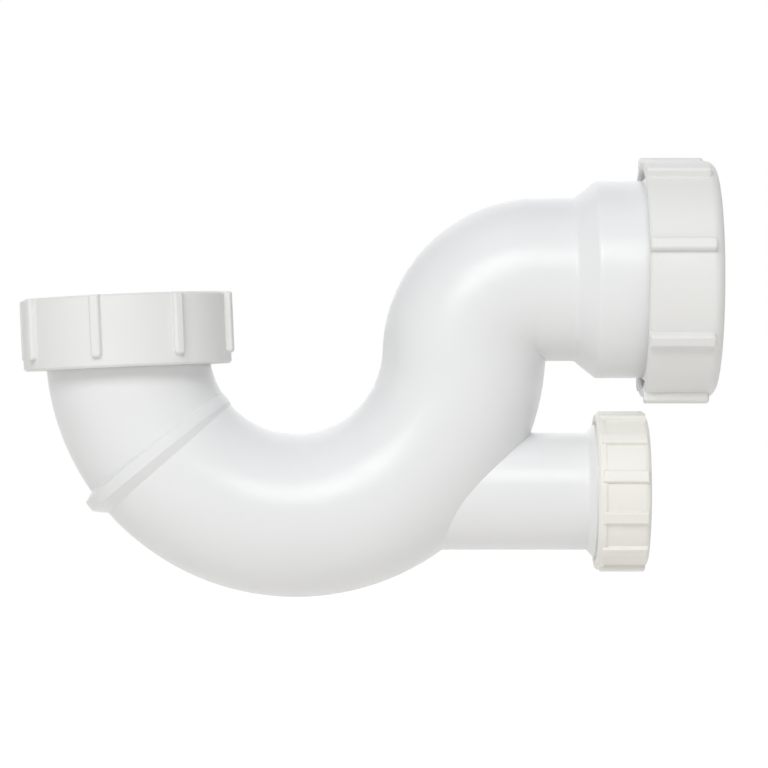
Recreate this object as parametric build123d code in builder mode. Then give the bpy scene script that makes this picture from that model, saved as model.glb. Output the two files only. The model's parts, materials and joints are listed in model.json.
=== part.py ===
from build123d import *
import os
from math import cos, radians, sin

# Bath trap, in millimetres and degrees.
# The origin lies on the inlet axis at the top of the inlet washer.
# +Z runs up the inlet and +X runs towards the outlet.

# Pipe run
tube_radius = 22.4
wall = 2.4
bend_radius = 46.3
bend_sweep = 175.85
knee_radius = 20.5
knee_web = 0.4
outlet_fall = 2.5

# Weld collar between the two mouldings
seam_sweep = 36.5
collar_height = 3.0
collar_root = 0.4
collar_width = 3.0
collar_taper = 4.0
collar_face = 1.6

# Inlet flange, washer and union nut
inlet_thread_radius = 23.9
inlet_flange_lip = 1.8
inlet_flange_thick = 2.5
inlet_washer_thick = 3.0
inlet_washer_wide = 3.2
inlet_nut_wall = 4.0
inlet_nut_height = 19.5
inlet_nut_floor = 3.5
inlet_nut_band = 2.8
inlet_rib_count = 8
inlet_rib_turn = -12.1
inlet_rib_width = 2.8
inlet_rib_height = 1.7

# Outlet socket, sized from the waste pipe that it takes
pipe_radius = 21.5
seal_room = 2.7
socket_wall = 2.9
outlet_run = 9.6
cone_length = 5.9
cone_round = 2.0
socket_end = 40.3
outlet_thread_wall = 4.12
outlet_thread_depth = 1.48
outlet_thread_length = 11.2
mouth_taper = 3.8
mouth_land = 1.7

# Outlet seal, slip washer and compression nut
seal_head = 2.4
seal_lip = 0.8
slip_washer_thick = 1.5
outlet_nut_wall = 2.7
outlet_nut_length = 20.1
outlet_nut_floor = 4.1
outlet_nut_shoulder = 3.2
outlet_nut_band = 2.3
outlet_rib_count = 8
outlet_rib_turn = -14.7
outlet_rib_width = 3.4
outlet_rib_height = 2.3

# Cleaning eye: eye_turn places it round the U-bend, eye_length is how far it stands out
eye_turn = 58.8
eye_length = 21.9
eye_radius = 16.1
eye_flare = 1.9
eye_collar = 0.9
eye_thread_wall = 3.7
eye_thread_depth = 1.2
eye_thread_length = 8.0
eye_washer_thick = 2.4
cap_wall = 2.1
cap_length = 14.3
cap_floor = 3.4
cap_shoulder = 1.8
cap_band = 2.1
cap_rim = 0.6
cap_rib_count = 12
cap_rib_turn = -12.5
cap_rib_width = 3.3
cap_rib_height = 1.2
cap_rib_round = 0.5
cap_rib_stop = 0.8

# Shared details
rib_root = 1.0
rib_round = 0.8
rib_corner = 1.0
edge_round = 0.6
thread_lead = 1.0
running_gap = 0.3
swivel_gap = 0.6
pipe_gap = 0.8
thread_gap = 0.1
rubber_gap = 0.15

# Values that follow from the sizes above
bore_radius = tube_radius - wall
bend_level = -(inlet_washer_thick + inlet_flange_thick)
knee_sweep = bend_sweep - 90 + outlet_fall
inlet_flange_radius = tube_radius + inlet_flange_lip
inlet_relief = max(inlet_flange_radius, inlet_thread_radius) + running_gap
inlet_nut_radius = inlet_relief + inlet_nut_wall
inlet_nut_base = bend_level - inlet_nut_floor
inlet_nut_top = inlet_nut_base + inlet_nut_height
socket_bore = pipe_radius + seal_room
socket_radius = socket_bore + socket_wall
outlet_thread_root = socket_bore + outlet_thread_wall
outlet_thread_radius = outlet_thread_root + outlet_thread_depth
outlet_nut_bore = outlet_thread_radius + thread_gap
outlet_nut_radius = outlet_nut_bore + outlet_nut_wall
slip_begin = socket_end + seal_head
slip_end = slip_begin + slip_washer_thick
outlet_nut_end = slip_end + outlet_nut_floor
outlet_nut_start = outlet_nut_end - outlet_nut_length
eye_drop = bend_radius * sin(radians(eye_turn))
eye_begin = bend_radius * cos(radians(eye_turn))
eye_end = bend_radius + tube_radius + eye_length
eye_inner = eye_radius - wall
eye_thread_root = eye_inner + eye_thread_wall
eye_thread_radius = eye_thread_root + eye_thread_depth
eye_flange = eye_thread_radius - running_gap
cap_bore = eye_thread_radius + running_gap
cap_radius = cap_bore + cap_wall
cap_rim_radius = cap_radius + cap_rim
cap_end = eye_end + eye_washer_thick + cap_floor
cap_start = cap_end - cap_length


def around(sweep, radius):
    """Point at a radius from the U-bend's centre, a sweep after its inlet end."""
    turn = radians(180 + sweep)
    return Vector(bend_radius + radius * cos(turn), 0, bend_level + radius * sin(turn))


def heading(sweep):
    """Direction in which the pipe runs, a sweep after the U-bend's inlet end."""
    turn = radians(sweep - 90)
    return Vector(cos(turn), 0, sin(turn))


def reach(point, axis):
    """Distance of a point from an axis."""
    offset = point - axis.position
    return (offset - axis.direction * offset.dot(axis.direction)).length


def rib_planes(axis, side, radius, count, turn):
    """Planes that face away from an axis, one for each rib, counted from the front."""
    planes = []
    for index in range(count):
        angle = radians(turn + 360 * index / count)
        away = Vector(0, -1, 0) * cos(angle) + side * sin(angle)
        planes.append(Plane(origin=axis.position + away * radius, x_dir=axis.direction, z_dir=away))
    return planes


# Places along the run
bend_centre = around(0, 0)
bend_axis = Axis(bend_centre, (0, -1, 0))
inlet_axis = Axis((0, 0, 0), (0, 0, 1))
inlet_plane = Plane(origin=around(0, bend_radius), x_dir=(1, 0, 0), z_dir=(0, 0, -1))
seam_out = (around(seam_sweep, 1) - bend_centre).normalized()
seam_plane = Plane(origin=around(seam_sweep, bend_radius), x_dir=seam_out, z_dir=heading(seam_sweep))
knee_out = (around(bend_sweep, 1) - bend_centre).normalized()
knee_plane = Plane(origin=around(bend_sweep, bend_radius), x_dir=knee_out, z_dir=heading(bend_sweep))
knee_centre = around(bend_sweep, bend_radius + knee_radius)
knee_axis = Axis(knee_centre, (0, 1, 0))
outlet_way = Vector(cos(radians(outlet_fall)), 0, -sin(radians(outlet_fall)))
outlet_up = Vector(sin(radians(outlet_fall)), 0, cos(radians(outlet_fall)))
outlet_start = knee_centre + outlet_up * knee_radius
outlet_axis = Axis(outlet_start, outlet_way)
outlet_plane = Plane(origin=outlet_start, x_dir=outlet_way, z_dir=(0, -1, 0))
eye_start = bend_centre - outlet_up * eye_drop
eye_axis = Axis(eye_start, outlet_way)
eye_plane = Plane(origin=eye_start, x_dir=outlet_way, z_dir=(0, -1, 0))
front_plane = Plane(origin=(0, 0, 0), x_dir=(1, 0, 0), z_dir=(0, -1, 0))

# Inlet elbow: the flange, the first stretch of the bend and the upper half of the weld collar
collar_radius = tube_radius + (collar_height + collar_root) / 2
collar_shift = (collar_height - collar_root) / 2
collar_foot = tube_radius - collar_height / 3
with BuildPart() as inlet_elbow:
    with BuildSketch(inlet_plane):
        Circle(tube_radius)
    revolve(axis=bend_axis, revolution_arc=seam_sweep)
    with BuildSketch(inlet_plane):
        Circle(inlet_flange_radius)
    extrude(amount=-inlet_flange_thick)
    with BuildSketch(seam_plane):
        with Locations((collar_shift, 0)):
            Circle(collar_radius)
    extrude(amount=-collar_width)
    with BuildSketch(seam_plane.offset(-collar_width)):
        with Locations((collar_shift, 0)):
            Circle(collar_radius)
    with BuildSketch(seam_plane.offset(-collar_width - collar_face)):
        Circle(collar_foot)
    loft()
    with BuildSketch(inlet_plane):
        Circle(bore_radius)
    revolve(axis=bend_axis, revolution_arc=seam_sweep, mode=Mode.SUBTRACT)
    with BuildSketch(inlet_plane):
        Circle(bore_radius)
    extrude(amount=-inlet_flange_thick, mode=Mode.SUBTRACT)

# Main moulding: U-bend, cleaning-eye branch, tight second bend and outlet socket
# The second bend is tighter than the tube is thick, so its section stops at the turning axis
cone_end = outlet_run + cone_length
thread_begin = socket_end - outlet_thread_length
mouth_begin = socket_end - mouth_taper
mouth_radius = outlet_thread_root - mouth_land
eye_thread_begin = eye_end - eye_thread_length
eye_flare_end = eye_thread_begin - eye_collar
with BuildPart() as trap_bend:
    with BuildSketch(seam_plane):
        Circle(tube_radius)
    revolve(axis=bend_axis, revolution_arc=bend_sweep - seam_sweep)
    with BuildSketch(eye_plane):
        with BuildLine():
            Polyline(
                (eye_begin, 0),
                (eye_begin, eye_radius),
                (eye_flare_end - eye_flare, eye_radius),
                (eye_flare_end, eye_flange),
                (eye_thread_begin, eye_flange),
                (eye_thread_begin + edge_round, eye_thread_root),
                (eye_end - thread_lead, eye_thread_root),
                (eye_end, eye_thread_root - thread_lead / 2),
                (eye_end, 0),
                close=True,
            )
        make_face()
    revolve(axis=eye_axis)
    with BuildSketch(knee_plane):
        Circle(tube_radius)
        with Locations((knee_radius - 2 * tube_radius, 0)):
            Rectangle(4 * tube_radius, 4 * tube_radius, mode=Mode.INTERSECT)
    revolve(axis=knee_axis, revolution_arc=knee_sweep)
    with BuildSketch(outlet_plane) as socket_section:
        with BuildLine():
            Polyline(
                (0, 0),
                (0, tube_radius),
                (outlet_run, tube_radius),
                (cone_end, socket_radius),
                (thread_begin - edge_round, socket_radius),
                (thread_begin + edge_round, outlet_thread_root),
                (socket_end - thread_lead, outlet_thread_root),
                (socket_end, outlet_thread_root - thread_lead / 2),
                (socket_end, 0),
                close=True,
            )
        make_face()
        cone_corners = [
            socket_section.vertices().sort_by_distance((outlet_run, tube_radius))[0],
            socket_section.vertices().sort_by_distance((cone_end, socket_radius))[0],
        ]
        fillet(cone_corners, cone_round)
    revolve(axis=outlet_axis)
    with BuildSketch(seam_plane):
        with Locations((collar_shift, 0)):
            Circle(collar_radius)
    with BuildSketch(seam_plane.offset(collar_taper)):
        Circle(collar_foot)
    loft()
    with BuildSketch(seam_plane):
        Circle(bore_radius)
    revolve(axis=bend_axis, revolution_arc=bend_sweep - seam_sweep, mode=Mode.SUBTRACT)
    with BuildSketch(knee_plane):
        Circle(bore_radius)
        with Locations((knee_radius - knee_web - 2 * tube_radius, 0)):
            Rectangle(4 * tube_radius, 4 * tube_radius, mode=Mode.INTERSECT)
    revolve(axis=knee_axis, revolution_arc=knee_sweep, mode=Mode.SUBTRACT)
    with BuildSketch(outlet_plane):
        with BuildLine():
            Polyline(
                (0, 0),
                (0, bore_radius),
                (outlet_run + 0.6 * wall, bore_radius),
                (cone_end + 0.3 * wall, socket_bore),
                (mouth_begin, socket_bore),
                (socket_end, mouth_radius),
                (socket_end, 0),
                close=True,
            )
        make_face()
    revolve(axis=outlet_axis, mode=Mode.SUBTRACT)
    with BuildSketch(eye_plane):
        with BuildLine():
            Polyline(
                (eye_begin, 0),
                (eye_begin, eye_inner),
                (eye_end, eye_inner),
                (eye_end, 0),
                close=True,
            )
        make_face()
    revolve(axis=eye_axis, mode=Mode.SUBTRACT)

# Inlet union nut: floor that hangs under the elbow's flange, relief and thread
inlet_rib_reach = inlet_nut_radius + inlet_rib_height
inlet_rib_low = inlet_nut_base + inlet_nut_band
inlet_rib_high = inlet_nut_top
inlet_rib_faces = rib_planes(
    inlet_axis, Vector(1, 0, 0), inlet_nut_radius - rib_root, inlet_rib_count, inlet_rib_turn
)
with BuildPart() as inlet_nut:
    with BuildSketch(front_plane):
        with BuildLine():
            Polyline(
                (tube_radius + swivel_gap, inlet_nut_base),
                (inlet_nut_radius - edge_round, inlet_nut_base),
                (inlet_nut_radius, inlet_nut_base + edge_round),
                (inlet_nut_radius, inlet_nut_top - edge_round),
                (inlet_nut_radius - edge_round, inlet_nut_top),
                (inlet_thread_radius + thread_lead, inlet_nut_top),
                (inlet_thread_radius, inlet_nut_top - thread_lead),
                (inlet_thread_radius, 0),
                (inlet_relief, -running_gap),
                (inlet_relief, inlet_nut_base + inlet_nut_floor),
                (tube_radius + swivel_gap, inlet_nut_base + inlet_nut_floor),
                close=True,
            )
        make_face()
    revolve(axis=inlet_axis)
    with BuildSketch(*inlet_rib_faces):
        with Locations(((inlet_rib_low + inlet_rib_high) / 2, 0)):
            RectangleRounded(inlet_rib_high - inlet_rib_low, inlet_rib_width, rib_corner)
        with Locations((inlet_rib_high - inlet_rib_width / 2, 0)):
            Rectangle(inlet_rib_width, inlet_rib_width)
    extrude(amount=rib_root + inlet_rib_height)
    fillet(
        inlet_nut.edges().filter_by(lambda e: reach(e @ 0.5, inlet_axis) > inlet_rib_reach - 0.01),
        rib_round,
    )

# Flat washer on the inlet flange
with BuildPart() as inlet_washer:
    with BuildSketch(Plane.XY):
        Circle(inlet_thread_radius - running_gap)
        Circle(inlet_thread_radius - running_gap - inlet_washer_wide, mode=Mode.SUBTRACT)
    extrude(amount=-inlet_washer_thick)

# Tapered seal: its head rests on the socket's end and its cone fills the mouth
seal_bore = pipe_radius + rubber_gap
seal_tip = mouth_begin - seal_lip
with BuildPart() as outlet_seal:
    with BuildSketch(outlet_plane):
        with BuildLine():
            Polyline(
                (mouth_begin + 0.2, seal_bore),
                (seal_tip, seal_bore + seal_lip),
                (seal_tip, socket_bore - seal_lip),
                (mouth_begin, socket_bore - rubber_gap),
                (socket_end, mouth_radius - rubber_gap),
                (socket_end, outlet_thread_root - thread_lead),
                (slip_begin, outlet_thread_root - thread_lead),
                (slip_begin, seal_bore + seal_lip),
                (slip_begin - seal_lip, seal_bore),
                close=True,
            )
        make_face()
    revolve(axis=outlet_axis)

# Slip washer between the seal and the nut's floor
with BuildPart() as outlet_slip_washer:
    with BuildSketch(outlet_plane):
        with BuildLine():
            Polyline(
                (slip_begin, pipe_radius + swivel_gap),
                (slip_end, pipe_radius + swivel_gap),
                (slip_end, outlet_thread_root - running_gap),
                (slip_begin, outlet_thread_root - running_gap),
                close=True,
            )
        make_face()
    revolve(axis=outlet_axis)

# Outlet compression nut: floor against the slip washer, thread bore open towards the body
outlet_rib_reach = outlet_nut_radius + outlet_rib_height
outlet_rib_low = outlet_nut_start
outlet_rib_high = outlet_nut_end - outlet_nut_band
outlet_rib_faces = rib_planes(
    outlet_axis, -outlet_up, outlet_nut_radius - rib_root, outlet_rib_count, outlet_rib_turn
)
with BuildPart() as outlet_nut:
    with BuildSketch(outlet_plane) as outlet_nut_section:
        with BuildLine():
            Polyline(
                (outlet_nut_start, outlet_nut_bore + edge_round),
                (outlet_nut_start, outlet_nut_radius - edge_round),
                (outlet_nut_start + edge_round, outlet_nut_radius),
                (outlet_nut_end, outlet_nut_radius),
                (outlet_nut_end, pipe_radius + pipe_gap),
                (slip_end, pipe_radius + pipe_gap),
                (slip_end, outlet_thread_root + thread_gap),
                (slip_begin - 0.4, outlet_thread_root + thread_gap),
                (slip_begin - 0.4 - outlet_thread_depth, outlet_nut_bore),
                (outlet_nut_start + edge_round, outlet_nut_bore),
                close=True,
            )
        make_face()
        outlet_nut_corner = outlet_nut_section.vertices().group_by(Axis.X)[-1].sort_by(Axis.Y)[-1]
        fillet(outlet_nut_corner, outlet_nut_shoulder)
    revolve(axis=outlet_axis)
    with BuildSketch(*outlet_rib_faces):
        with Locations(((outlet_rib_low + outlet_rib_high) / 2, 0)):
            RectangleRounded(outlet_rib_high - outlet_rib_low, outlet_rib_width, rib_corner)
        with Locations((outlet_rib_low + outlet_rib_width / 2, 0)):
            Rectangle(outlet_rib_width, outlet_rib_width)
    extrude(amount=rib_root + outlet_rib_height)
    fillet(
        outlet_nut.edges().filter_by(lambda e: reach(e @ 0.5, outlet_axis) > outlet_rib_reach - 0.01),
        rib_round,
    )

# Flat washer on the end of the eye branch
with BuildPart() as eye_washer:
    with BuildSketch(eye_plane):
        with BuildLine():
            Polyline(
                (eye_end, eye_inner),
                (eye_end + eye_washer_thick, eye_inner),
                (eye_end + eye_washer_thick, eye_thread_root),
                (eye_end, eye_thread_root),
                close=True,
            )
        make_face()
    revolve(axis=eye_axis)

# Cleaning-eye cap
cap_rib_reach = cap_radius + cap_rib_height
cap_rib_low = cap_start + cap_band / 2
cap_rib_high = cap_end - cap_rib_stop
cap_rib_faces = rib_planes(eye_axis, -outlet_up, cap_radius - rib_root, cap_rib_count, cap_rib_turn)
with BuildPart() as eye_cap:
    with BuildSketch(eye_plane) as cap_section:
        with BuildLine():
            Polyline(
                (cap_start, cap_bore + edge_round),
                (cap_start, cap_rim_radius - edge_round),
                (cap_start + edge_round, cap_rim_radius),
                (cap_start + cap_band, cap_rim_radius),
                (cap_start + cap_band, cap_radius),
                (cap_end, cap_radius),
                (cap_end, 0),
                (cap_end - cap_floor, 0),
                (cap_end - cap_floor, cap_bore),
                (cap_start + edge_round, cap_bore),
                close=True,
            )
        make_face()
        cap_corner = cap_section.vertices().group_by(Axis.X)[-1].sort_by(Axis.Y)[-1]
        fillet(cap_corner, cap_shoulder)
    revolve(axis=eye_axis)
    with BuildSketch(*cap_rib_faces):
        with Locations(((cap_rib_low + cap_rib_high) / 2, 0)):
            Rectangle(cap_rib_high - cap_rib_low, cap_rib_width)
    extrude(amount=rib_root + cap_rib_height)
    fillet(
        eye_cap.edges().filter_by(lambda e: reach(e @ 0.5, eye_axis) > cap_rib_reach - 0.01),
        cap_rib_round,
    )

# One file for each piece
os.makedirs("parts", exist_ok=True)
pieces = {
    "inlet_elbow": inlet_elbow.part,
    "trap_bend": trap_bend.part,
    "inlet_nut": inlet_nut.part,
    "inlet_washer": inlet_washer.part,
    "outlet_seal": outlet_seal.part,
    "outlet_slip_washer": outlet_slip_washer.part,
    "outlet_nut": outlet_nut.part,
    "eye_washer": eye_washer.part,
    "eye_cap": eye_cap.part,
}
for name, piece in pieces.items():
    piece.label = name
    export_step(piece, f"parts/{name}.step")
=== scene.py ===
import json
import math

import bmesh
import bpy
from mathutils import Matrix, Vector


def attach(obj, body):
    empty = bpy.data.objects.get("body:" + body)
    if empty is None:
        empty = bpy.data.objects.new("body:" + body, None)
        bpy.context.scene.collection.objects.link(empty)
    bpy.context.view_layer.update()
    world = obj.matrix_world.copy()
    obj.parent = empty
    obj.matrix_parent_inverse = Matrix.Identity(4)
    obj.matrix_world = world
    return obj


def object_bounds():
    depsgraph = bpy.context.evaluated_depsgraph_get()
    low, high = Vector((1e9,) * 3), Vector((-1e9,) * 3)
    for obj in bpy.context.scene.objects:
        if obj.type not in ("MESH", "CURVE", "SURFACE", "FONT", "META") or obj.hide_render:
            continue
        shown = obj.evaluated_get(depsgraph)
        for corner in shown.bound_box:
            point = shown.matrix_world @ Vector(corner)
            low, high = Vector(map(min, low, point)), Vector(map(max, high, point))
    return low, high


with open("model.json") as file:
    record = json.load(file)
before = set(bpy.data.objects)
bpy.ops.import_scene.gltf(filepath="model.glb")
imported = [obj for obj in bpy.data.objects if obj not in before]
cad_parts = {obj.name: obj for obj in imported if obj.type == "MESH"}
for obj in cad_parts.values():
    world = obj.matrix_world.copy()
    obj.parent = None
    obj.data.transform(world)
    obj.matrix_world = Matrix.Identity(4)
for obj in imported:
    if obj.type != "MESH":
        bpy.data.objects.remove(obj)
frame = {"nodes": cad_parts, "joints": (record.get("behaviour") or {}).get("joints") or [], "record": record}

bl_info = {
    "name": "Bath trap",
    "version": (1, 0, 0),
    "blender": (4, 5, 0),
    "location": "View3D > Sidebar > Bath trap",
    "description": "Plastic and rubber finishes, screw threads and a studio stage for a bath trap",
    "category": "Add Mesh",
}

MM = 0.001
WHITE = (1, 1, 1)

# What the frame gives: the box, the axes of the threads, their pitches and the mounts.
CAD_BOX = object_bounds()
JOINTS = {joint["name"]: joint for joint in frame["joints"]}
INLET = JOINTS["inlet_nut_turn"]
OUTLET = JOINTS["outlet_nut_turn"]
EYE = JOINTS["cap_turn"]
COUPLINGS = frame["record"]["behaviour"]["couplings"]
PITCHES = {link["follows"]: link["ratio"] * math.tau for link in COUPLINGS}
MOUNTS = {mount["name"]: mount for mount in frame["record"]["mounts"]}

# Colour sockets of a Mix node, by their places.
MIX_SHARE = 0
MIX_FIRST = 6
MIX_SECOND = 7
MIX_RESULT = 2

# Plastic: the range that a noise mostly stays in, its patches, the gloss and the parting line.
NOISE_RANGE = (0.3, 0.7)
CLOUD_SIZE = 35 * MM
SMEAR_SIZE = 6 * MM
GLOSS_SPREAD = 0.06
PLASTIC_IOR = 1.49
LINE_WIDTH = 0.35 * MM
LINE_HEIGHT = 5

# Threads: where each starts along its joint's axis, and how a ridge is made.
INLET_START = 1.2 * MM
OUTLET_START = -13.6 * MM
EYE_START = -8.8 * MM
RIDGE_CORNERS = 4
RIDGE_SINK = 0.12 * MM
RIDGE_RUNOUT = 0.35
RIDGE_STEPS = 96.0
MERGE_DISTANCE = 1e-6
SHARP_ANGLE = math.radians(35)

# Stage: the floor, the lamps and the picture.
FLOOR_HALF = 2.5
FLOOR_PATCH = 400 * MM
FLOOR_TONES = ((0.78, 0.765, 0.74), (0.80, 0.785, 0.76))
GLOW_WARM = (1, 0.985, 0.955)
GLOW_DISTANCES = (0.2, 1.6)
GLOW_LEVELS = (0.32, 0.54)
ROOM_COOL = (0.97, 0.985, 1)
LAMP_DISTANCE = 1.3
PICTURE_MIDDLE = Vector((70.09, 0, -16.67)) * MM
PHOTO_PIXELS = 768
SENSOR = 36.0
CLIP_NEAR = 0.05
CLIP_FAR = 20


class TrapFinishes(bpy.types.PropertyGroup):
    """Colours of the trap's plastics and rubber."""

    body_colour: bpy.props.FloatVectorProperty(
        name="Body white",
        description="Cool white of the two body mouldings",
        subtype="COLOR",
        size=3,
        min=0,
        max=1,
        default=(0.84, 0.845, 0.853),
    )
    nut_colour: bpy.props.FloatVectorProperty(
        name="Nut white",
        description="Neutral white of the two ribbed nuts",
        subtype="COLOR",
        size=3,
        min=0,
        max=1,
        default=(0.83, 0.83, 0.817),
    )
    cap_colour: bpy.props.FloatVectorProperty(
        name="Cap ivory",
        description="Creamy white of the cleaning-eye cap",
        subtype="COLOR",
        size=3,
        min=0,
        max=1,
        default=(0.89, 0.88, 0.832),
    )
    slip_colour: bpy.props.FloatVectorProperty(
        name="Slip washer",
        description="Milky white of the slip washer behind the outlet nut",
        subtype="COLOR",
        size=3,
        min=0,
        max=1,
        default=(0.72, 0.73, 0.72),
    )
    rubber_colour: bpy.props.FloatVectorProperty(
        name="Rubber black",
        description="Black of the washers and the outlet seal",
        subtype="COLOR",
        size=3,
        min=0,
        max=1,
        default=(0.022, 0.022, 0.024),
    )


class TrapThreads(bpy.types.PropertyGroup):
    """Sizes of the screw threads on the trap, its nuts and its cap."""

    inlet_root: bpy.props.FloatProperty(
        name="Inlet bore",
        description="Radius of the bore that carries the inlet nut's thread",
        unit="LENGTH",
        default=MOUNTS["inlet_thread"]["dims"]["r_mm"] * MM,
    )
    fine_depth: bpy.props.FloatProperty(
        name="Fine thread depth",
        description="Height of the ridge of the inlet and outlet threads",
        unit="LENGTH",
        default=1.36 * MM,
    )
    fine_base: bpy.props.FloatProperty(
        name="Fine thread base",
        description="Width of that ridge at its root",
        unit="LENGTH",
        default=1.4 * MM,
    )
    fine_crest: bpy.props.FloatProperty(
        name="Fine thread crest",
        description="Width of that ridge at its crest",
        unit="LENGTH",
        default=0.35 * MM,
    )
    coarse_depth: bpy.props.FloatProperty(
        name="Coarse thread depth",
        description="Height of the ridge of the cleaning eye's thread",
        unit="LENGTH",
        default=1.15 * MM,
    )
    coarse_base: bpy.props.FloatProperty(
        name="Coarse thread base",
        description="Width of that ridge at its root",
        unit="LENGTH",
        default=1.8 * MM,
    )
    coarse_crest: bpy.props.FloatProperty(
        name="Coarse thread crest",
        description="Width of that ridge at its crest",
        unit="LENGTH",
        default=0.5 * MM,
    )
    outlet_root: bpy.props.FloatProperty(
        name="Outlet root",
        description="Radius of the socket's end under its thread",
        unit="LENGTH",
        default=28.32 * MM,
    )
    outlet_bore: bpy.props.FloatProperty(
        name="Outlet nut bore",
        description="Radius of the bore that carries the outlet nut's thread",
        unit="LENGTH",
        default=29.9 * MM,
    )
    outlet_pitch: bpy.props.FloatProperty(
        name="Outlet pitch",
        description="Travel of the outlet nut in one turn, which the inlet thread shares",
        unit="LENGTH",
        default=PITCHES["outlet_nut_turn"],
    )
    eye_root: bpy.props.FloatProperty(
        name="Eye root",
        description="Radius of the cleaning eye's end under its thread",
        unit="LENGTH",
        default=17.4 * MM,
    )
    eye_bore: bpy.props.FloatProperty(
        name="Cap bore",
        description="Radius of the bore that carries the cap's thread",
        unit="LENGTH",
        default=18.9 * MM,
    )
    eye_pitch: bpy.props.FloatProperty(
        name="Eye pitch",
        description="Travel of the cap in one turn",
        unit="LENGTH",
        default=PITCHES["cap_turn"],
    )


class TrapStage(bpy.types.PropertyGroup):
    """Floor, light and camera."""

    floor_drop: bpy.props.FloatProperty(
        name="Floor drop",
        description="Distance from the lowest point of the trap down to the floor",
        unit="LENGTH",
        default=0.09,
    )
    world_level: bpy.props.FloatProperty(
        name="Room light",
        description="Strength of the even light from all round",
        min=0,
        default=0.32,
    )
    key_level: bpy.props.FloatProperty(
        name="Key light",
        description="Light that the large lamp in front adds on a surface turned to it",
        min=0,
        default=0.51,
    )
    top_level: bpy.props.FloatProperty(
        name="Top light",
        description="Light that the large lamp overhead adds on a surface turned to it",
        min=0,
        default=0.1,
    )
    back_level: bpy.props.FloatProperty(
        name="Back light",
        description="Light that the large lamp behind adds on a surface turned to it",
        min=0,
        default=0.16,
    )
    floor_level: bpy.props.FloatProperty(
        name="Floor light",
        description="Light that the glowing floor gives off",
        min=0,
        default=0.22,
    )
    camera_distance: bpy.props.FloatProperty(
        name="Camera distance",
        description="Distance from the camera to the plane through the pipe's middle",
        unit="LENGTH",
        default=0.9,
    )
    pixel_size: bpy.props.FloatProperty(
        name="Pixel size",
        description="Length on that plane that one pixel of the picture covers",
        unit="LENGTH",
        precision=6,
        default=0.275 * MM,
    )


def way(joint):
    """Unit direction of a joint's axis."""
    return Vector(joint["axis"]).normalized()


def principled(name):
    """New material with its nodes, its links and its main shader."""
    material = bpy.data.materials.new(name)
    material.use_nodes = True
    tree = material.node_tree
    return material, tree.nodes, tree.links, tree.nodes["Principled BSDF"]


def noise(nodes, links, place, size, detail=2.0):
    """Noise whose patches are about a size across."""
    texture = nodes.new("ShaderNodeTexNoise")
    texture.inputs["Scale"].default_value = 1 / size
    texture.inputs["Detail"].default_value = detail
    links.new(place, texture.inputs["Vector"])
    return texture.outputs["Fac"]


def ranged(nodes, links, value, old, new):
    """Value moved smoothly from an old range to a new one."""
    node = nodes.new("ShaderNodeMapRange")
    node.interpolation_type = "SMOOTHSTEP"
    node.inputs["From Min"].default_value = old[0]
    node.inputs["From Max"].default_value = old[1]
    node.inputs["To Min"].default_value = new[0]
    node.inputs["To Max"].default_value = new[1]
    links.new(value, node.inputs["Value"])
    return node.outputs["Result"]


def blended(nodes, links, share, first, second):
    """Colour between two colours."""
    mix = nodes.new("ShaderNodeMix")
    mix.data_type = "RGBA"
    mix.inputs[MIX_FIRST].default_value = (*first, 1)
    mix.inputs[MIX_SECOND].default_value = (*second, 1)
    links.new(share, mix.inputs[MIX_SHARE])
    return mix.outputs[MIX_RESULT]


def summed(nodes, links, first, second):
    """Sum of two values."""
    node = nodes.new("ShaderNodeMath")
    node.operation = "ADD"
    links.new(first, node.inputs[0])
    links.new(second, node.inputs[1])
    return node.outputs[0]


def roughened(nodes, links, shader, height, strength, depth):
    """Gives a shader fine relief from a height."""
    bump = nodes.new("ShaderNodeBump")
    bump.inputs["Strength"].default_value = strength
    bump.inputs["Distance"].default_value = depth
    links.new(height, bump.inputs["Height"])
    links.new(bump.outputs["Normal"], shader.inputs["Normal"])


def parting_line(nodes, links, place):
    """Fine ridge on the plane where the halves of the mould met."""
    split = nodes.new("ShaderNodeSeparateXYZ")
    links.new(place, split.inputs[0])
    side = nodes.new("ShaderNodeMath")
    side.operation = "ABSOLUTE"
    links.new(split.outputs["Y"], side.inputs[0])
    return ranged(nodes, links, side.outputs[0], (0, LINE_WIDTH), (LINE_HEIGHT, 0))


def moulded_plastic(name, colour, shade, roughness, grain, depth, line=False):
    """White plastic with faint clouds of colour, uneven gloss and a moulded grain."""
    material, nodes, links, shader = principled(name)
    place = nodes.new("ShaderNodeTexCoord").outputs["Object"]
    cloud = noise(nodes, links, place, CLOUD_SIZE)
    tone = ranged(nodes, links, cloud, NOISE_RANGE, (0, 1))
    dimmed = [channel * shade for channel in colour]
    links.new(blended(nodes, links, tone, colour, dimmed), shader.inputs["Base Color"])
    smear = noise(nodes, links, place, SMEAR_SIZE, detail=3)
    gloss = ranged(nodes, links, smear, NOISE_RANGE, (roughness, roughness + GLOSS_SPREAD))
    links.new(gloss, shader.inputs["Roughness"])
    height = noise(nodes, links, place, grain)
    if line:
        height = summed(nodes, links, height, parting_line(nodes, links, place))
    roughened(nodes, links, shader, height, strength=0.5, depth=depth)
    shader.inputs["IOR"].default_value = PLASTIC_IOR
    return material


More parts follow.
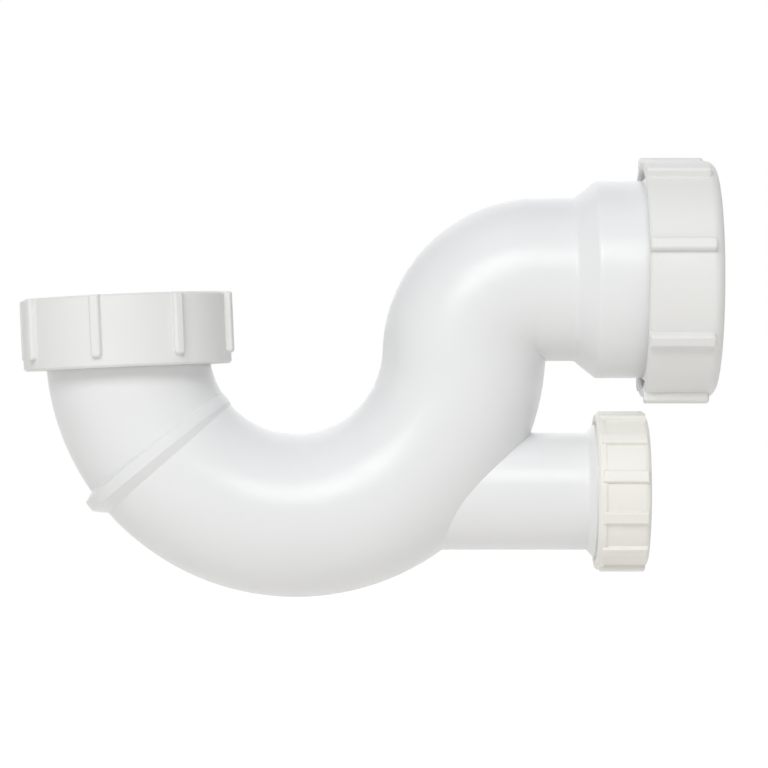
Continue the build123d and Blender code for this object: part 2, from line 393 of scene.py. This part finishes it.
def moulded_rubber(name, colour, bloom_gain, matte, dusty_matte):
    """Black rubber with a dusty bloom that is paler and more matte."""
    material, nodes, links, shader = principled(name)
    place = nodes.new("ShaderNodeTexCoord").outputs["Object"]
    patches = noise(nodes, links, place, 3 * MM, detail=4)
    bloom = ranged(nodes, links, patches, (0.35, 0.75), (0, 1))
    dusty = [channel * bloom_gain for channel in colour]
    links.new(blended(nodes, links, bloom, colour, dusty), shader.inputs["Base Color"])
    links.new(ranged(nodes, links, bloom, (0, 1), (matte, dusty_matte)), shader.inputs["Roughness"])
    grain = noise(nodes, links, place, 0.7 * MM, detail=3)
    roughened(nodes, links, shader, grain, strength=0.6, depth=0.04 * MM)
    return material


def dress(names, material):
    """Gives pieces of the frame one finish."""
    for name in names:
        slots = frame["nodes"][name].data.materials
        slots.clear()
        slots.append(material)


class TRAP_OT_body(bpy.types.Operator):
    """Finish the inlet elbow and the main moulding in satin white"""

    bl_idname = "trap.body"
    bl_label = "Body mouldings"

    def execute(self, context):
        white = moulded_plastic(
            "body white",
            context.scene.trap_finishes.body_colour,
            shade=0.985,
            roughness=0.285,
            grain=5 * MM,
            depth=0.02 * MM,
            line=True,
        )
        dress(["inlet_elbow", "trap_bend"], white)
        return {"FINISHED"}


class TRAP_OT_nuts(bpy.types.Operator):
    """Finish the inlet and outlet nuts in matte white"""

    bl_idname = "trap.nuts"
    bl_label = "Ribbed nuts"

    def execute(self, context):
        white = moulded_plastic(
            "nut white",
            context.scene.trap_finishes.nut_colour,
            shade=0.975,
            roughness=0.44,
            grain=0.5 * MM,
            depth=0.03 * MM,
        )
        dress(["inlet_nut", "outlet_nut"], white)
        return {"FINISHED"}


class TRAP_OT_cap(bpy.types.Operator):
    """Finish the cleaning-eye cap in ivory"""

    bl_idname = "trap.cap"
    bl_label = "Cleaning-eye cap"

    def execute(self, context):
        ivory = moulded_plastic(
            "cap ivory",
            context.scene.trap_finishes.cap_colour,
            shade=0.975,
            roughness=0.40,
            grain=0.6 * MM,
            depth=0.03 * MM,
        )
        dress(["eye_cap"], ivory)
        return {"FINISHED"}


class TRAP_OT_rings(bpy.types.Operator):
    """Finish the rubber washers, the outlet seal and the slip washer"""

    bl_idname = "trap.rings"
    bl_label = "Seal and washers"

    def execute(self, context):
        finish = context.scene.trap_finishes
        rubber = moulded_rubber(
            "seal rubber", finish.rubber_colour, bloom_gain=2.2, matte=0.5, dusty_matte=0.72
        )
        dress(["inlet_washer", "outlet_seal", "eye_washer"], rubber)
        milky = moulded_plastic(
            "slip plastic",
            finish.slip_colour,
            shade=0.96,
            roughness=0.38,
            grain=0.8 * MM,
            depth=0.02 * MM,
        )
        dress(["outlet_slip_washer"], milky)
        return {"FINISHED"}


RIDGE_INPUTS = {
    "Root radius": "NodeSocketFloat",
    "Depth": "NodeSocketFloat",
    "Pitch": "NodeSocketFloat",
    "First turn": "NodeSocketFloat",
    "Last turn": "NodeSocketFloat",
    "Base width": "NodeSocketFloat",
    "Crest width": "NodeSocketFloat",
    "Sink": "NodeSocketFloat",
    "Runout": "NodeSocketFloat",
    "Steps in a turn": "NodeSocketFloat",
    "Material": "NodeSocketMaterial",
}


class NodeTable:
    """Short calls that add nodes to a geometry tree."""

    def __init__(self, tree):
        self.nodes = tree.nodes
        self.links = tree.links

    def add(self, kind, **sockets):
        """New node whose named sockets are linked or set."""
        node = self.nodes.new(kind)
        for label, value in sockets.items():
            self.feed(node.inputs[label.replace("_", " ")], value)
        return node

    def feed(self, socket, value):
        """Links a socket to another one, or sets it to a value."""
        if isinstance(value, bpy.types.NodeSocket):
            self.links.new(value, socket)
        else:
            socket.default_value = value

    def math(self, operation, first, second=0.0):
        """Result of one operation on one or two values."""
        node = self.nodes.new("ShaderNodeMath")
        node.operation = operation
        self.feed(node.inputs[0], first)
        self.feed(node.inputs[1], second)
        return node.outputs[0]

    def pick(self, index, values):
        """One of several values, by its place in the list."""
        node = self.nodes.new("GeometryNodeIndexSwitch")
        node.data_type = "FLOAT"
        while len(node.index_switch_items) < len(values):
            node.index_switch_items.new()
        self.feed(node.inputs["Index"], index)
        for place, value in enumerate(values):
            self.feed(node.inputs[place + 1], value)
        return node.outputs[0]


def ridge_tree():
    """Tree that winds a screw-thread ridge round +Z and lets it run out at both ends."""
    tree = bpy.data.node_groups.new("thread ridge", "GeometryNodeTree")
    for label, kind in RIDGE_INPUTS.items():
        tree.interface.new_socket(label, in_out="INPUT", socket_type=kind)
    tree.interface.new_socket("Geometry", in_out="OUTPUT", socket_type="NodeSocketGeometry")
    table = NodeTable(tree)
    given = table.add("NodeGroupInput").outputs
    turns = table.math("SUBTRACT", given["Last turn"], given["First turn"])
    steps = table.math("MULTIPLY", turns, given["Steps in a turn"])

    # A flat strip: its X becomes the way along the ridge, its Y the corners of the section.
    strip = table.add(
        "GeometryNodeMeshGrid",
        Size_X=1.0,
        Size_Y=1.0,
        Vertices_X=steps,
        Vertices_Y=RIDGE_CORNERS + 1,
    )
    position = table.add("GeometryNodeInputPosition").outputs[0]
    place = table.add("ShaderNodeSeparateXYZ", Vector=position)
    along = table.math("ADD", place.outputs["X"], 0.5)
    across = table.math("ADD", place.outputs["Y"], 0.5)
    corner = table.math("ROUND", table.math("MULTIPLY", across, float(RIDGE_CORNERS)))

    # The ridge fades to nothing over the runout, counted in turns from its nearer end.
    nearer = table.math("MINIMUM", along, table.math("SUBTRACT", 1.0, along))
    ramp = table.nodes.new("ShaderNodeMapRange")
    ramp.interpolation_type = "SMOOTHSTEP"
    table.feed(ramp.inputs["Value"], table.math("MULTIPLY", nearer, turns))
    table.feed(ramp.inputs["From Max"], given["Runout"])
    fade = ramp.outputs["Result"]

    # The section: base, crest, crest, base, and the first corner again to close it.
    base = table.math("MULTIPLY", given["Base width"], 0.5)
    crest = table.math("MULTIPLY", given["Crest width"], 0.5)
    low_base = table.math("MULTIPLY", base, -1.0)
    low_crest = table.math("MULTIPLY", crest, -1.0)
    side = table.pick(corner, [low_base, low_crest, crest, base, low_base])
    sink = given["Sink"]
    depth = given["Depth"]
    rise = table.pick(corner, [sink, depth, depth, sink, sink])

    radius = table.math("ADD", given["Root radius"], table.math("MULTIPLY", rise, fade))
    turn = table.math("ADD", given["First turn"], table.math("MULTIPLY", along, turns))
    angle = table.math("MULTIPLY", turn, math.tau)
    height = table.math("MULTIPLY", turn, given["Pitch"])
    height = table.math("ADD", height, table.math("MULTIPLY", side, fade))
    spot = table.add(
        "ShaderNodeCombineXYZ",
        X=table.math("MULTIPLY", radius, table.math("COSINE", angle)),
        Y=table.math("MULTIPLY", radius, table.math("SINE", angle)),
        Z=height,
    )
    flat = strip.outputs["Mesh"]
    wound = table.add("GeometryNodeSetPosition", Geometry=flat, Position=spot.outputs[0])
    closed = table.add(
        "GeometryNodeMergeByDistance", Geometry=wound.outputs[0], Distance=MERGE_DISTANCE
    )
    plain = table.add("GeometryNodeRealizeInstances", Geometry=closed.outputs[0])
    painted = table.add(
        "GeometryNodeSetMaterial", Geometry=plain.outputs[0], Material=given["Material"]
    )
    table.add("NodeGroupOutput", Geometry=painted.outputs[0])
    return tree


def ridge_sizes(section, root, depth, first, last):
    """Sizes of a ridge: its section, its root radius, its height and the turns it runs between."""
    return {**section, "Root radius": root, "Depth": depth, "First turn": first, "Last turn": last}


def seat(joint, lift):
    """Matrix that moves +Z on to a joint's axis, lifted along it from the joint's place."""
    axis = way(joint)
    turn = Vector((0, 0, 1)).rotation_difference(axis).to_matrix().to_4x4()
    return Matrix.Translation(Vector(joint["pos_m"]) + axis * lift) @ turn


def wind(context, label, body, finish, matrix, sizes):
    """One ridge, wound by the tree, put in its place as a plain mesh that rides on a body."""
    tree = bpy.data.node_groups.get("thread ridge") or ridge_tree()
    inputs = {
        "Sink": -RIDGE_SINK * math.copysign(1, sizes["Depth"]),
        "Runout": RIDGE_RUNOUT,
        "Steps in a turn": RIDGE_STEPS,
        "Material": bpy.data.materials[finish],
        **sizes,
    }
    ridge = bpy.data.objects.new(label, bpy.data.meshes.new(label))
    context.scene.collection.objects.link(ridge)
    modifier = ridge.modifiers.new("ridge", "NODES")
    modifier.node_group = tree
    for item in tree.interface.items_tree:
        if item.in_out == "INPUT":
            modifier[item.identifier] = inputs[item.name]
    mesh = bpy.data.meshes.new_from_object(ridge.evaluated_get(context.evaluated_depsgraph_get()))
    ridge.modifiers.remove(modifier)
    ridge.data = mesh
    mesh.name = label
    shell = bmesh.new()
    shell.from_mesh(mesh)
    bmesh.ops.recalc_face_normals(shell, faces=shell.faces)
    shell.to_mesh(mesh)
    shell.free()
    mesh.transform(matrix)
    mesh.shade_smooth()
    mesh.set_sharp_from_angle(angle=SHARP_ANGLE)
    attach(ridge, body)


class TRAP_OT_threads(bpy.types.Operator):
    """Wind the screw threads of the inlet nut, the outlet and the cleaning eye"""

    bl_idname = "trap.threads"
    bl_label = "Screw threads"

    def execute(self, context):
        sizes = context.scene.trap_threads
        fine = {
            "Pitch": sizes.outlet_pitch,
            "Base width": sizes.fine_base,
            "Crest width": sizes.fine_crest,
        }
        coarse = {
            "Pitch": sizes.eye_pitch,
            "Base width": sizes.coarse_base,
            "Crest width": sizes.coarse_crest,
        }
        inlet = ridge_sizes(fine, sizes.inlet_root, -sizes.fine_depth, first=0.0, last=3.3)
        wind(context, "inlet_nut_thread", "union_nut", "nut white", seat(INLET, INLET_START), inlet)
        outlet = ridge_sizes(fine, sizes.outlet_root, sizes.fine_depth, first=0.0, last=3.7)
        wind(context, "outlet_thread", "trap", "body white", seat(OUTLET, OUTLET_START), outlet)
        # The ridges of a nut or cap lie half a pitch away from those that they turn on.
        nut_seat = seat(OUTLET, OUTLET_START + sizes.outlet_pitch / 2)
        nut = ridge_sizes(fine, sizes.outlet_bore, -sizes.fine_depth, first=-0.9, last=3.5)
        wind(context, "outlet_nut_thread", "compression_nut", "nut white", nut_seat, nut)
        eye = ridge_sizes(coarse, sizes.eye_root, sizes.coarse_depth, first=0.0, last=1.67)
        wind(context, "eye_thread", "trap", "body white", seat(EYE, EYE_START), eye)
        cap_seat = seat(EYE, EYE_START + sizes.eye_pitch / 2)
        cap = ridge_sizes(coarse, sizes.eye_bore, -sizes.coarse_depth, first=-0.75, last=1.3)
        wind(context, "cap_thread", "screw_cap", "cap ivory", cap_seat, cap)
        return {"FINISHED"}


def seen_directly(nodes, links):
    """One for what the camera, a mirror or glass sees, and zero for light that falls on things."""
    path = nodes.new("ShaderNodeLightPath")
    direct = summed(nodes, links, path.outputs["Is Camera Ray"], path.outputs["Is Glossy Ray"])
    direct = summed(nodes, links, direct, path.outputs["Is Transmission Ray"])
    limit = nodes.new("ShaderNodeClamp")
    links.new(direct, limit.inputs["Value"])
    return limit.outputs[0]


def floor_material(stage):
    """Pale glowing floor that looks white and keeps a soft shadow."""
    material, nodes, links, shader = principled("floor white")
    place = nodes.new("ShaderNodeTexCoord").outputs["Object"]
    cloud = noise(nodes, links, place, FLOOR_PATCH)
    pale = blended(nodes, links, cloud, *FLOOR_TONES)
    links.new(pale, shader.inputs["Base Color"])
    shader.inputs["Roughness"].default_value = 0.9
    shader.inputs["Specular IOR Level"].default_value = 0.1
    direct = seen_directly(nodes, links)
    tint = blended(nodes, links, direct, GLOW_WARM, WHITE)
    links.new(tint, shader.inputs["Emission Color"])

    # Seen directly, the floor glows more away from the trap, where less of the lamps' light falls.
    reach = nodes.new("ShaderNodeVectorMath")
    reach.operation = "LENGTH"
    links.new(place, reach.inputs[0])
    glow = nodes.new("ShaderNodeMath")
    glow.operation = "MULTIPLY_ADD"
    links.new(direct, glow.inputs[0])
    extra = ranged(nodes, links, reach.outputs["Value"], GLOW_DISTANCES, GLOW_LEVELS)
    links.new(extra, glow.inputs[1])
    glow.inputs[2].default_value = stage.floor_level
    links.new(glow.outputs[0], shader.inputs["Emission Strength"])
    return material


def add_floor(context, stage):
    """Wide pale floor below the trap."""
    level = CAD_BOX[0][2] - stage.floor_drop
    signs = ((-1, -1), (1, -1), (1, 1), (-1, 1))
    corners = [(x * FLOOR_HALF, y * FLOOR_HALF, level) for x, y in signs]
    mesh = bpy.data.meshes.new("floor")
    mesh.from_pydata(corners, [], [(0, 1, 2, 3)])
    mesh.materials.append(floor_material(stage))
    floor = bpy.data.objects.new("floor", mesh)
    context.scene.collection.objects.link(floor)


def add_room_light(context, stage):
    """Even light from all round, in front of a white background."""
    world = bpy.data.worlds.new("white room")
    world.use_nodes = True
    nodes = world.node_tree.nodes
    links = world.node_tree.links
    background = nodes["Background"]
    direct = seen_directly(nodes, links)
    links.new(blended(nodes, links, direct, ROOM_COOL, WHITE), background.inputs["Color"])
    level = ranged(nodes, links, direct, (0, 1), (stage.world_level, 1))
    links.new(level, background.inputs["Strength"])
    context.scene.world = world


def picture_axes():
    """Right, up and back directions of the picture, in which the outlet runs level."""
    right = way(OUTLET)
    back = Vector((0, -1, 0))
    up = back.cross(right)
    return right, up, back


def add_lamp(context, label, direction, size, level):
    """Large soft lamp that faces the trap from a direction in the picture: right, up and back."""
    right, up, back = picture_axes()
    towards = (right * direction[0] + up * direction[1] + back * direction[2]).normalized()
    lamp = bpy.data.lights.new(label, "AREA")
    lamp.shape = "RECTANGLE"
    lamp.size, lamp.size_y = size
    # The power that gives a white surface turned to the lamp this brightness.
    lamp.energy = level * math.pi**2 * LAMP_DISTANCE**2
    holder = bpy.data.objects.new(label, lamp)
    holder.location = PICTURE_MIDDLE + towards * LAMP_DISTANCE
    holder.rotation_euler = towards.to_track_quat("Z", "Y").to_euler()
    context.scene.collection.objects.link(holder)


def add_camera(context, stage):
    """Camera of the photograph: square on to the bends, with the outlet level."""
    right, up, back = picture_axes()
    lens = bpy.data.cameras.new("camera")
    lens.sensor_width = SENSOR
    lens.lens = SENSOR * stage.camera_distance / (stage.pixel_size * PHOTO_PIXELS)
    lens.clip_start = CLIP_NEAR
    lens.clip_end = CLIP_FAR
    camera = bpy.data.objects.new("camera", lens)
    turn = Matrix((right, up, back)).transposed().to_4x4()
    camera.matrix_world = Matrix.Translation(PICTURE_MIDDLE + back * stage.camera_distance) @ turn
    context.scene.collection.objects.link(camera)
    context.scene.camera = camera


class TRAP_OT_stage(bpy.types.Operator):
    """Set the floor, the studio light and the camera"""

    bl_idname = "trap.stage"
    bl_label = "Stage"

    def execute(self, context):
        stage = context.scene.trap_stage
        add_floor(context, stage)
        add_room_light(context, stage)
        add_lamp(context, "key light", (-0.2, 0.53, 0.85), size=(1.0, 0.5), level=stage.key_level)
        add_lamp(context, "top light", (-0.1, 0.9, 0.4), size=(1, 1), level=stage.top_level)
        add_lamp(context, "back light", (0, 0.6, -1), size=(1.2, 1.2), level=stage.back_level)
        add_camera(context, stage)
        context.scene.view_settings.view_transform = "Standard"
        return {"FINISHED"}


class TRAP_PT_panel(bpy.types.Panel):
    """Sizes, colours and steps of the bath trap"""

    bl_idname = "TRAP_PT_panel"
    bl_label = "Bath trap"
    bl_space_type = "VIEW_3D"
    bl_region_type = "UI"
    bl_category = "Bath trap"

    def draw(self, context):
        layout = self.layout
        scene = context.scene
        for group in (scene.trap_finishes, scene.trap_threads, scene.trap_stage):
            box = layout.box()
            for name in group.__annotations__:
                box.prop(group, name)
        for step in STEPS:
            layout.operator(step.bl_idname)


GROUPS = (TrapFinishes, TrapThreads, TrapStage)
STEPS = (TRAP_OT_body, TRAP_OT_nuts, TRAP_OT_cap, TRAP_OT_rings, TRAP_OT_threads, TRAP_OT_stage)
CLASSES = (*GROUPS, *STEPS, TRAP_PT_panel)


def register():
    """Adds the classes and the scene's settings."""
    for item in CLASSES:
        bpy.utils.register_class(item)
    bpy.types.Scene.trap_finishes = bpy.props.PointerProperty(type=TrapFinishes)
    bpy.types.Scene.trap_threads = bpy.props.PointerProperty(type=TrapThreads)
    bpy.types.Scene.trap_stage = bpy.props.PointerProperty(type=TrapStage)


def unregister():
    """Takes the settings and the classes away again."""
    del bpy.types.Scene.trap_stage
    del bpy.types.Scene.trap_threads
    del bpy.types.Scene.trap_finishes
    for item in reversed(CLASSES):
        bpy.utils.unregister_class(item)


def main():
    """Makes the whole scene."""
    register()
    bpy.ops.trap.body()
    bpy.ops.trap.nuts()
    bpy.ops.trap.cap()
    bpy.ops.trap.rings()
    bpy.ops.trap.threads()
    bpy.ops.trap.stage()


if __name__ == "__main__":
    main()
